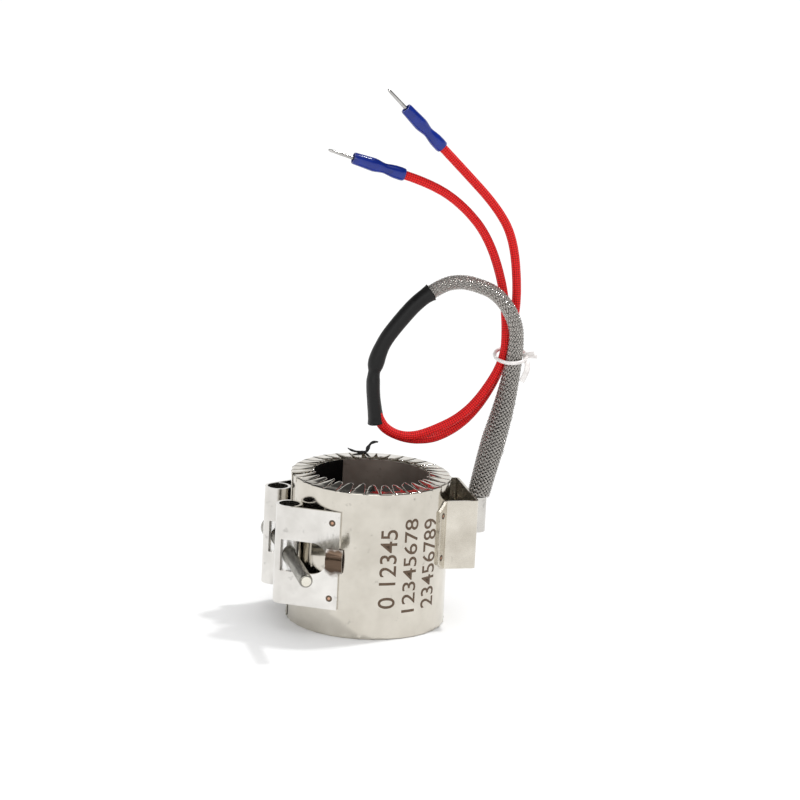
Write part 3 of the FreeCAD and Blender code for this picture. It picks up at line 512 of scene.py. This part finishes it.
braid_line = smooth_line("braid_line", BRAID_ROUTE)
frames, braid_length = frames_along(braid_line, 0.15 * MM)
windings = braid_windings(frames, braid_length)
bm = bmesh.new()
bm.loops.layers.uv.new("along")
for number in range(CARRIERS):
    for direction in (1, -1):
        weave_bundle(bm, frames, braid_length, windings, number, direction)
steel_braid = keep_piece("steel_braid", bm, braid_finish(), stands_for=["lead_braid"], sharp=80)
# A near-black tube inside the braid is painted shade: it shows through the gaps between the bundles as the
# dark of the braid's hollow inside.
braid_hollow_shade = dull("braid_hollow_shade", (0.006, 0.005, 0.005), (0.02, 0.016, 0.014), (0.6, 0.8), 900)
inner_table = [(distance, radius - 0.26) for distance, radius in BRAID_RADII]
braid_shade_core = keep_piece("braid_shade_core", roll_tube(braid_line, inner_table, 20), braid_hollow_shade)
print("braid length", round(braid_length, 4))

# %% [markdown]
# ## Shrink sleeve and red wires
#
# The sleeve has shrunk onto what is inside it, so its radius changes: flared ends, a bump
# and a neck. The wires are silicone with a woven glass jacket. Its small diamonds come from
# two sine waves in the tube's own UV, one for each winding direction.

# %% Sleeve and wires
SHRINK_ROUTE = [
    (0.0156, 0.0, 0.1005), (0.0121, 0.0, 0.0983), (0.0063, 0.0002, 0.0914), (0.0015, 0.0008, 0.0844),
    (-0.0006, 0.0015, 0.0759), (-0.0001, 0.002, 0.0673), (0.0013, 0.002, 0.060)]
SHRINK_RADII = [(0, 2.75), (0.9, 2.52), (2.5, 2.34), (12, 2.32), (22, 2.25), (25, 2.42), (27, 2.5),
                (28.6, 2.3), (30.2, 1.78), (31.5, 1.85), (33, 2.05), (39, 2.05), (42.8, 2.2), (45, 2.4),
                (46.4, 2.72)]
SHRINK_OVAL = [(0, 1), (27, 1.05), (34, 1.4), (44, 1.4), (46.4, 1.2)]
WIRE_A_ROUTE = [
    (0.0004, 0.0006, 0.065), (0.0022, 0.0006, 0.0605), (0.005, 0.0006, 0.0578), (0.0089, 0.0006, 0.0562),
    (0.0135, 0.0006, 0.0562), (0.019, 0.0006, 0.0581), (0.0264, 0.0009, 0.0616), (0.0329, 0.0016, 0.0676),
    (0.0399, 0.0027, 0.0788), (0.0404, 0.0041, 0.0888), (0.0389, 0.0052, 0.1018), (0.0336, 0.0055, 0.1162),
    (0.0255, 0.005, 0.1256), (0.0156, 0.0045, 0.1322), (0.0066, 0.0045, 0.135)]
WIRE_B_ROUTE = [
    (0.0004, 0.0034, 0.065), (0.0021, 0.0034, 0.0601), (0.0048, 0.0034, 0.0571), (0.0098, 0.0034, 0.0549),
    (0.0146, 0.0034, 0.0542), (0.0205, 0.0034, 0.0548), (0.0281, 0.0039, 0.0589), (0.0344, 0.0046, 0.0659),
    (0.0399, 0.0054, 0.0763), (0.043, 0.0058, 0.0891), (0.0437, 0.006, 0.1), (0.0415, 0.006, 0.1158),
    (0.0358, 0.006, 0.1253), (0.0252, 0.006, 0.1361), (0.0181, 0.006, 0.1431)]
WIRE_RADIUS = 1.35


def jacket_finish():
    material, tree, shader = new_finish("red_jacket")
    shader.inputs["Specular IOR Level"].default_value = 0.25
    uv = add_node(tree, "SeparateXYZ", links={0: add_node(tree, "UVMap", uv_map="along").outputs[0]})
    waves = []
    for direction in (1, -1):
        turns = add_node(tree, "Math", {1: direction * 6 * 2 * math.pi}, {0: uv.outputs["Y"]},
                         operation="MULTIPLY")
        lean = add_node(tree, "Math", {1: 2 * math.pi / 1.4}, {0: uv.outputs["X"], 2: turns.outputs[0]},
                        operation="MULTIPLY_ADD")
        waves.append(add_node(tree, "Math", links={0: lean.outputs[0]}, operation="SINE").outputs[0])
    knots = add_node(tree, "Math", links={0: waves[0], 1: waves[1]}, operation="MULTIPLY")
    # The colour follows the weave's height, so the hollows of the diamonds are painted darker: painted shade
    # in the weave.
    tint = blend_colours(tree, knots.outputs[0], (0.36, 0.001, 0.002), (0.9, 0.012, 0.012), -0.6, 0.5)
    tree.links.new(tint, shader.inputs["Base Color"])
    vary_roughness(tree, shader, object_noise(tree, (1, 1, 1), 900), 0.38, 0.55)
    raise_bump(tree, shader, knots.outputs[0], 0.09)
    return material


red_jacket = jacket_finish()
shrink_line = smooth_line("shrink_line", SHRINK_ROUTE)
bm = roll_tube(shrink_line, SHRINK_RADII, 32, 0.4 * MM, closed=False, oval=SHRINK_OVAL)
shrink_sleeve = keep_piece("shrink_sleeve", bm, shrink_black, stands_for=["heat_shrink"])
wall = shrink_sleeve.modifiers.new("wall", "SOLIDIFY")
wall.thickness = 0.35 * MM
wall.offset = -1
wires = {}
for letter, route in (("a", WIRE_A_ROUTE), ("b", WIRE_B_ROUTE)):
    line = smooth_line("wire_line_" + letter, route)
    bm = roll_tube(line, [(0, WIRE_RADIUS), (200, WIRE_RADIUS)], 20, 0.4 * MM)
    wire = keep_piece("jacket_" + letter, bm, red_jacket, stands_for=["red_wire_" + letter])
    wires[letter] = (wire, line, route)

# %% [markdown]
# ## Crimp sleeves and pins
#
# A pin terminal has a soft blue collar, pinched at its waist by the crimping tool, and a
# bare round pin. Both are turned shapes: a few vertices are joined into half of the section
# and spun once round the axis, then the mesh is turned to point along the end of its wire.


# %% Turn the sleeves and pins
def turned(profile, steps=40):
    """Spin a section of (along, radius) in mm round Z; the spin's seam is merged."""
    bm = bmesh.new()
    chain = [bm.verts.new((radius * MM, 0, along * MM)) for along, radius in profile]
    edges = [bm.edges.new(pair) for pair in zip(chain, chain[1:])]
    bmesh.ops.spin(bm, geom=chain + edges, cent=(0, 0, 0), axis=(0, 0, 1), angle=math.tau,
                   steps=steps, use_merge=True)
    bmesh.ops.remove_doubles(bm, verts=bm.verts, dist=1e-7)
    bmesh.ops.recalc_face_normals(bm, faces=bm.faces)
    return bm


def aim(bm, start, ahead):
    turn = ahead.to_track_quat("Z", "Y").to_matrix().to_4x4()
    bmesh.ops.transform(bm, matrix=Matrix.Translation(start) @ turn, verts=bm.verts)
    return bm


PIN_SEAT = 14.8
SLEEVE_PROFILE = [(0, 1.4), (0, 1.8), (0.3, 1.93), (1.2, 2.0), (3.2, 1.96), (4.6, 1.78), (5.9, 1.56),
                  (6.7, 1.54), (7.8, 1.72), (8.9, 1.95), (9.8, 2.04), (11, 2.0), (14, 1.86), (16, 1.78),
                  (16.4, 1.66), (16.4, 1.38), (15.6, 1.25), (PIN_SEAT, 1.2), (PIN_SEAT, 0.0)]
PIN_PROFILE = [(0, 0.0), (0, 0.6), (1.0, 0.62), (2.4, 0.56), (6.5, 0.5), (8.6, 0.46), (9.3, 0.32), (9.6, 0.0)]
for letter, (wire, line, route) in wires.items():
    tip = Vector(route[-1])
    ahead = (tip - Vector(route[-2])).normalized()
    sleeve = keep_piece("crimp_collar_" + letter, aim(turned(SLEEVE_PROFILE), tip, ahead), sleeve_blue,
                        stands_for=["blue_sleeve_" + letter], sharp=50)
    seat = tip + ahead * PIN_SEAT * MM
    pin = keep_piece("bare_pin_" + letter, aim(turned(PIN_PROFILE, 24), seat, ahead), pin_steel,
                     stands_for=["pin_" + letter], sharp=50)

# %% [markdown]

# %% [markdown]
# ## The sheath
#
# The sheath is one strip of sheet rolled to a ring. Both rims are folded in over the wall
# and slit into tabs, so that the flat rim can close on itself round the bore. One grid
# stands for the whole unrolled strip: its long way runs round the ring, its short way
# runs from the lower tab tips over the fold, up the wall and back in to the upper tips.
# Narrow columns between the tabs are deleted and the rest is bent into place. Real tabs
# are never alike, so each gets its own small error in length, height, twist and lean.

# %% The unrolled section of the sheath
sheath_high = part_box("outer_sheath")[1]
TABS = 34
RING_RADIUS = 24.0
RING_TOP = sheath_high.z / MM
TIP_RADIUS = 17.75
FOLD_RADIUS = 0.62
GAP_HALF_ANGLE = 3.25
TAB_PITCH = 360 / TABS
PER_TAB = 12
SHEET = 0.4
random.seed(7)


def section_points():
    """(radius, height, tab share) from mid wall to the upper tip; share is 0 on the wall."""
    levels = (RING_TOP / 2, RING_TOP * 0.75, RING_TOP - 3, RING_TOP - 1.6, RING_TOP - 1.0)
    points = [(RING_RADIUS, level, 0) for level in levels]
    for step in range(7):
        turn = math.radians(6 + step * 13)
        points.append((RING_RADIUS - FOLD_RADIUS * (1 - math.cos(turn)),
                       RING_TOP - FOLD_RADIUS * (1 - math.sin(turn)), max(0.0, 0.05 * (step - 2))))
    for share in (0.27, 0.4, 0.55, 0.7, 0.8, 0.87, 0.92, 0.96, 0.985, 1.0):
        reach = (RING_RADIUS - FOLD_RADIUS) * (1 - share) + TIP_RADIUS * share
        points.append((reach, RING_TOP, share))
    return points


UPPER = section_points()
SECTION = [(radius, RING_TOP - level, share) for radius, level, share in UPPER[:0:-1]] + UPPER
print("section points:", len(SECTION))


# %% Bend the strip into the ring
def tab_habits():
    return {"reach": random.uniform(-0.35, 0.3), "rise": random.uniform(0.0, 0.35),
            "twist": random.uniform(-0.4, 0.55), "lean": random.uniform(-0.3, 0.3),
            "swell": random.uniform(0.7, 1.3)}


HABITS = [[tab_habits() for tab in range(TABS)] for rim in range(2)]


def front_rise(angle):
    """The tabs on the clamp and front side stand a little prouder."""
    return 0.5 + 0.5 * math.cos(math.radians(angle + 103))


def sheath_place(column, row):
    tab, step = divmod(column, PER_TAB + 1)
    across = 2 * step / PER_TAB - 1
    radius, level, share = SECTION[row]
    upper = level > RING_TOP / 2
    habit = HABITS[upper][tab]
    left = -180 + tab * TAB_PITCH
    right = left + TAB_PITCH
    opening = 0.0
    if share > 0:
        opening = math.degrees(0.06 + 0.68 * min(1, share * 1.05)) / radius
        if share > 0.86:
            fall = (share - 0.86) / 0.14
            opening += math.degrees(0.72 * (1 - math.sqrt(max(0.0, 1 - fall ** 2)))) / radius
    left = max(left + opening, -180 + GAP_HALF_ANGLE)
    right = min(right - opening, 180 - GAP_HALF_ANGLE)
    angle = left + (across + 1) / 2 * (right - left)
    fold = max(0.0, share - 0.2) / 0.8
    if share > 0:
        radius += habit["reach"] * fold - 0.35 * fold ** 3 * across ** 2
        rise = habit["rise"] * fold + habit["twist"] * fold * across * 0.5
        if upper:
            rise += 0.75 * front_rise(angle) * fold
            rise += 0.16 * fold * (1 - across ** 2)
            level += rise
        else:
            level += abs(rise) * 0.4
        angle += math.degrees(habit["lean"] * fold / radius)
    edge = math.exp(-((abs(across) - 1) / 0.25) ** 2)
    from_rim = min(level, RING_TOP - level) / 0.8
    near_fold = math.exp(-(from_rim - 0.5) ** 2 * 2) * (1 - min(1, share / 0.3))
    radius += 0.22 * habit["swell"] * edge * near_fold
    turn = math.radians(angle)
    return Vector((radius * math.cos(turn), radius * math.sin(turn), level)) * MM


columns = TABS * (PER_TAB + 1) - 1
rows = len(SECTION) - 1
bm = bmesh.new()
bmesh.ops.create_grid(bm, x_segments=columns, y_segments=rows, size=1)
place_of = {}
for vertex in bm.verts:
    place_of[vertex] = (round((vertex.co.x + 1) / 2 * columns), round((vertex.co.y + 1) / 2 * rows))
slits = []
for face in bm.faces:
    spots = [place_of[vertex] for vertex in face.verts]
    between_tabs = min(column for column, row in spots) % (PER_TAB + 1) == PER_TAB
    if between_tabs and any(SECTION[row][2] > 0 for column, row in spots):
        slits.append(face)
for vertex, (column, row) in place_of.items():
    vertex.co = sheath_place(column, row)
bmesh.ops.delete(bm, geom=slits, context="FACES")
bmesh.ops.remove_doubles(bm, verts=bm.verts, dist=1e-7)
bmesh.ops.recalc_face_normals(bm, faces=bm.faces)
serrated_sheath = keep_piece("serrated_sheath", bm, sheath_steel,
                             stands_for=["outer_sheath"], sharp=60)
sheet = serrated_sheath.modifiers.new("sheet", "SOLIDIFY")
sheet.thickness = SHEET * MM
sheet.offset = -1

# %% [markdown]
# ## Dressing the solid parts
#
# The clamp, box and wall layers already have their right shapes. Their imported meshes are
# loose triangles, so a copy is merged first, gets smooth shading between its sharp edges
# and, where it is folded sheet, a hair-thin bevel that catches the light.


# %% Copies of the solid parts
def dress(node, finish, bevel=0.0, sharp=30):
    bm = bmesh.new()
    bm.from_mesh(frame["nodes"][node].data)
    bmesh.ops.remove_doubles(bm, verts=bm.verts, dist=2e-6)
    bmesh.ops.dissolve_limit(bm, angle_limit=math.radians(0.4), verts=bm.verts, edges=bm.edges)
    bmesh.ops.recalc_face_normals(bm, faces=bm.faces)
    body = frame["nodes"][node]["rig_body"]
    piece = keep_piece("dressed_" + node, bm, finish, body, [node], sharp)
    if bevel:
        rounding = piece.modifiers.new("rounding", "BEVEL")
        rounding.width = bevel * MM
        rounding.segments = 2
        rounding.limit_method = "ANGLE"
        rounding.angle_limit = math.radians(50)
    return piece


for node, finish, slot in (
        ("inner_sheath", liner_steel, "liner"), ("gap_shield", shield_steel, "shield"),
        ("inner_mica", mica_plate, "mica"), ("outer_mica", mica_plate, "mica"),
        ("heating_core", mica_plate, "mica"), ("heating_ribbon", ribbon_steel, "ribbon"),
        ("insulation_blanket", fibre_blanket, "blanket")):
    dress(node, finish)
for node, finish, slot in (
        ("front_bracket", strap_steel, "strap"), ("back_bracket", strap_steel, "strap"),
        ("terminal_box", box_steel, "box"), ("lead_saddle", saddle_steel, "saddle"),
        ("saddle_rivets", saddle_steel, "saddle"), ("front_barrel_nut", barrel_steel, "barrel"),
        ("back_barrel", barrel_steel, "barrel")):
    dress(node, finish, bevel=0.09)
glass_sleeve = dull("glass_sleeve", (0.6, 0.57, 0.5), (0.78, 0.75, 0.68), (0.7, 0.85), 1800, 0.08)
for letter in "ab":
    dress("terminal_strip_" + letter, plated_steel)
    dress("splice_crimp_" + letter, plated_steel, bevel=0.12)
    dress("wire_tail_" + letter, glass_sleeve)
dress("cable_tie", tie_white)


# %% [markdown]
# ## The clamp screw
#
# A rolled thread is too fine to be worth its faces from a step away, so it is a bump: a
# wave along the screw's axis with the pitch of an M4 thread.

# %% Screw with its thread
THREAD_PITCH = 0.7


def screw_finish():
    material, tree, shader = new_finish("screw_zinc", metallic=1.0)
    place = add_node(tree, "SeparateXYZ", links={0: add_node(tree, "TexCoord").outputs["Object"]})
    along = add_node(tree, "Math", {1: 2 * math.pi / (THREAD_PITCH * MM)}, {0: place.outputs["Y"]},
                     operation="MULTIPLY")
    thread = add_node(tree, "Math", links={0: along.outputs[0]}, operation="SINE")
    clouds = object_noise(tree, (1, 1, 1), 400)
    tint = blend_colours(tree, clouds, (0.2, 0.19, 0.165), (0.4, 0.385, 0.34))
    tree.links.new(tint, shader.inputs["Base Color"])
    vary_roughness(tree, shader, clouds, 0.12, 0.26)
    raise_bump(tree, shader, thread.outputs[0], 0.05)
    return material


screw = dress("clamp_screw", screw_finish(), bevel=0.12)
# The flat end face gets a pale steel of its own: a painted highlight, standing for the bright floor that the
# face reflects.
painted_tip_highlight = steel("painted_tip_highlight", (0.7, 0.67, 0.58), (0.82, 0.79, 0.7), (0.2, 0.35), (1, 1, 1), 900, 0.01)
screw.data.materials.append(painted_tip_highlight)
screw_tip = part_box("clamp_screw")[0].y
for face in screw.data.polygons:
    if face.center.y < screw_tip + 0.05 * MM:
        face.material_index = 1

# %% [markdown]
# ## Rows of figures
#
# The band carries rows of laser-etched characters in a warm brown. Plain counting figures
# stand there. Text is a curve, so it is turned into a mesh first, sliced into
# narrow strips that can follow the curved wall, and then wrapped round the ring.

# %% Etched figures
ETCH_ROWS = (("0 12345", -81.0, 9.7, 5.2, 24.3), ("12345678", -64.7, 8.1, 4.6, 28.8),
             ("23456789", -45.8, 8.5, 5.6, 27.5))


def etch_finish():
    material, tree, shader = new_finish("etched_figures", roughness=0.6)
    clouds = object_noise(tree, (1, 1, 1), 2500)
    tint = blend_colours(tree, clouds, (0.06, 0.034, 0.018), (0.15, 0.095, 0.055))
    tree.links.new(tint, shader.inputs["Base Color"])
    raise_bump(tree, shader, clouds, 0.02)
    return material


def wrap_figures(name, text, angle, foot, tall, run):
    """A row that reads upwards: its base line is at the given angle, its length is run mm."""
    letters = bpy.data.curves.new(name, "FONT")
    letters.body = text
    letters.offset = 0.006
    holder = bpy.data.objects.new(name, letters)
    scene.collection.objects.link(holder)
    flat = bpy.data.meshes.new_from_object(holder)
    bpy.data.objects.remove(holder)
    bm = bmesh.new()
    bm.from_mesh(flat)
    across = [vertex.co.x for vertex in bm.verts]
    upward = [vertex.co.y for vertex in bm.verts]
    wide, high = max(across) - min(across), max(upward) - min(upward)
    for step in range(1, 8):
        level = min(upward) + high * step / 8
        bmesh.ops.bisect_plane(bm, geom=bm.verts[:] + bm.edges[:] + bm.faces[:], plane_co=(0, level, 0),
                               plane_no=(0, 1, 0), dist=1e-6)
    for vertex in bm.verts:
        along = (vertex.co.x - min(across)) / wide * run
        up = (vertex.co.y - min(upward)) / high * tall
        turn = math.radians(angle) - up / RING_RADIUS
        reach = RING_RADIUS + 0.012
        vertex.co = Vector((reach * math.cos(turn), reach * math.sin(turn), foot + along)) * MM
    bmesh.ops.recalc_face_normals(bm, faces=bm.faces)
    return bm


etched = etch_finish()
for number, (text, angle, foot, tall, run) in enumerate(ETCH_ROWS):
    figures = wrap_figures(f"row_{number}", text, angle, foot, tall, run)
    keep_piece(f"etched_row_{number}", figures, etched)

# %% [markdown]
# ## Small marks of use
#
# Spot welds leave a dark ring with a copper-coloured middle. A torn black thread lies over
# the back rim, the tie's two cut tails stick out, and single wires stand off the braid.


# %% Spot welds
WELD_PROFILE = [(0.0, 1.15), (0.05, 1.05), (0.1, 0.92), (0.03, 0.78), (0.02, 0.6), (0.1, 0.42),
                (0.13, 0.2), (0.14, 0.0)]
weld_ring = steel("weld_ring", (0.05, 0.04, 0.03), (0.16, 0.12, 0.09), (0.35, 0.55), (1, 1, 1), 1500, 0.03)
weld_copper = steel("weld_copper", (0.4, 0.2, 0.12), (0.66, 0.4, 0.28), (0.35, 0.5), (1, 1, 1), 1500, 0.03)


def spot_weld(name, place, outward):
    weld = keep_piece(name, aim(turned(WELD_PROFILE, 28), place, outward), weld_ring)
    weld.data.materials.append(weld_copper)
    for face in weld.data.polygons:
        if (face.center - place).length < 0.5 * MM:
            face.material_index = 1


STRAP_LEAN = math.radians(27.7)
STRAP_FACE = 24.72
STRAP_WELD_REACH = 4.4
FLANGE_ANGLE = 39.03
FLANGE_FACE = 24.62
for side, label in ((-1, "front"), (1, "back")):
    outward = Vector((-math.sin(STRAP_LEAN), side * math.cos(STRAP_LEAN), 0))
    along = Vector((-math.cos(STRAP_LEAN), -side * math.sin(STRAP_LEAN), 0))
    for level in (11.9, 35.1):
        place = (along * STRAP_WELD_REACH + outward * STRAP_FACE + Vector((0, 0, level))) * MM
        spot_weld(f"strap_weld_{label}_{level:.0f}", place, outward)
    turn = math.radians(side * FLANGE_ANGLE)
    outward = Vector((math.cos(turn), math.sin(turn), 0))
    for level in (22.6, 35.6):
        place = (outward * FLANGE_FACE + Vector((0, 0, level))) * MM
        spot_weld(f"flange_weld_{label}_{level:.0f}", place, outward)

# %% Torn thread
SCRAP_ROUTE = [(-0.0027, 0.023, 0.0466), (-0.0017, 0.023, 0.0458), (0.0012, 0.023, 0.0452),
               (0.0034, 0.023, 0.0452), (0.0037, 0.023, 0.0468), (0.005, 0.023, 0.0486),
               (0.0068, 0.023, 0.0484)]
SCRAP_RADII = [(0, 0.12), (1.5, 0.4), (3, 0.3), (5, 0.5), (6, 0.4), (7.5, 0.7), (8.6, 0.35), (10, 0.5),
               (12, 0.12)]
scrap_line = smooth_line("scrap_line", SCRAP_ROUTE)
scrap_bm = roll_tube(scrap_line, SCRAP_RADII, 8, 0.25 * MM)
keep_piece("torn_thread", scrap_bm, scrap_black)


# %% Tails of the tie
TIE_WIDTH = 1.7


def flat_strip(name, route, width, finish):
    """A ribbon that lies in the plane of its line's up direction."""
    frames, length = frames_along(smooth_line(name + "_line", route), 0.3 * MM)
    last = len(frames) - 1
    bm = bmesh.new()
    bmesh.ops.create_grid(bm, x_segments=last, y_segments=4, size=1)
    for vertex in bm.verts:
        number = round((vertex.co.x + 1) / 2 * last)
        place, side, up = frames[number]
        vertex.co = place + (up * vertex.co.y * width / 2 + side * 0.12 * vertex.co.y ** 2) * MM
    piece = keep_piece(name, bm, finish)
    sheet = piece.modifiers.new("sheet", "SOLIDIFY")
    sheet.thickness = 0.5 * MM


flat_strip("tie_tail_short", [(0.0452, 0.0012, 0.0806), (0.0468, 0.0008, 0.0811), (0.0486, 0.0004, 0.0814)],
           TIE_WIDTH, tie_white)
flat_strip("tie_tail_long", [(0.0462, -0.0006, 0.0797), (0.0461, -0.0024, 0.0783), (0.0452, -0.0032, 0.0760),
                             (0.0440, -0.0034, 0.0738)], TIE_WIDTH, tie_white)

# %% Stray wires of the braid
stray_steel = steel("stray_steel", (0.3, 0.29, 0.27), (0.6, 0.58, 0.55), (0.2, 0.35), (1, 1, 1), 900, 0.01)
random.seed(11)
strays = bmesh.new()
strays.loops.layers.uv.new("along")
for number in range(26):
    step = random.randrange(6, 190)
    place, side, up = frames[step]
    radius = from_table(BRAID_RADII, braid_length / MM * step / (len(frames) - 1))
    turn = random.uniform(-0.9, 0.9) + (math.pi * 1.5 if number % 3 else math.pi * 0.5)
    outward = side * math.cos(turn) + up * math.sin(turn)
    ahead = (frames[step + 4][0] - place).normalized()
    root = place + outward * (radius - 0.1) * MM
    reach = random.uniform(1.0, 2.4) * MM
    hair = [root, root + ahead * reach * 0.6 + outward * 0.25 * MM,
            root + ahead * reach + outward * random.uniform(0.3, 0.75) * MM]
    tube = roll_tube(hair, [(0, 0.06), (3, 0.05)], 5, 0.5 * MM)
    loose = bpy.data.meshes.new("stray")
    tube.to_mesh(loose)
    tube.free()
    strays.from_mesh(loose)
    bpy.data.meshes.remove(loose)
keep_piece("stray_wires", strays, stray_steel)
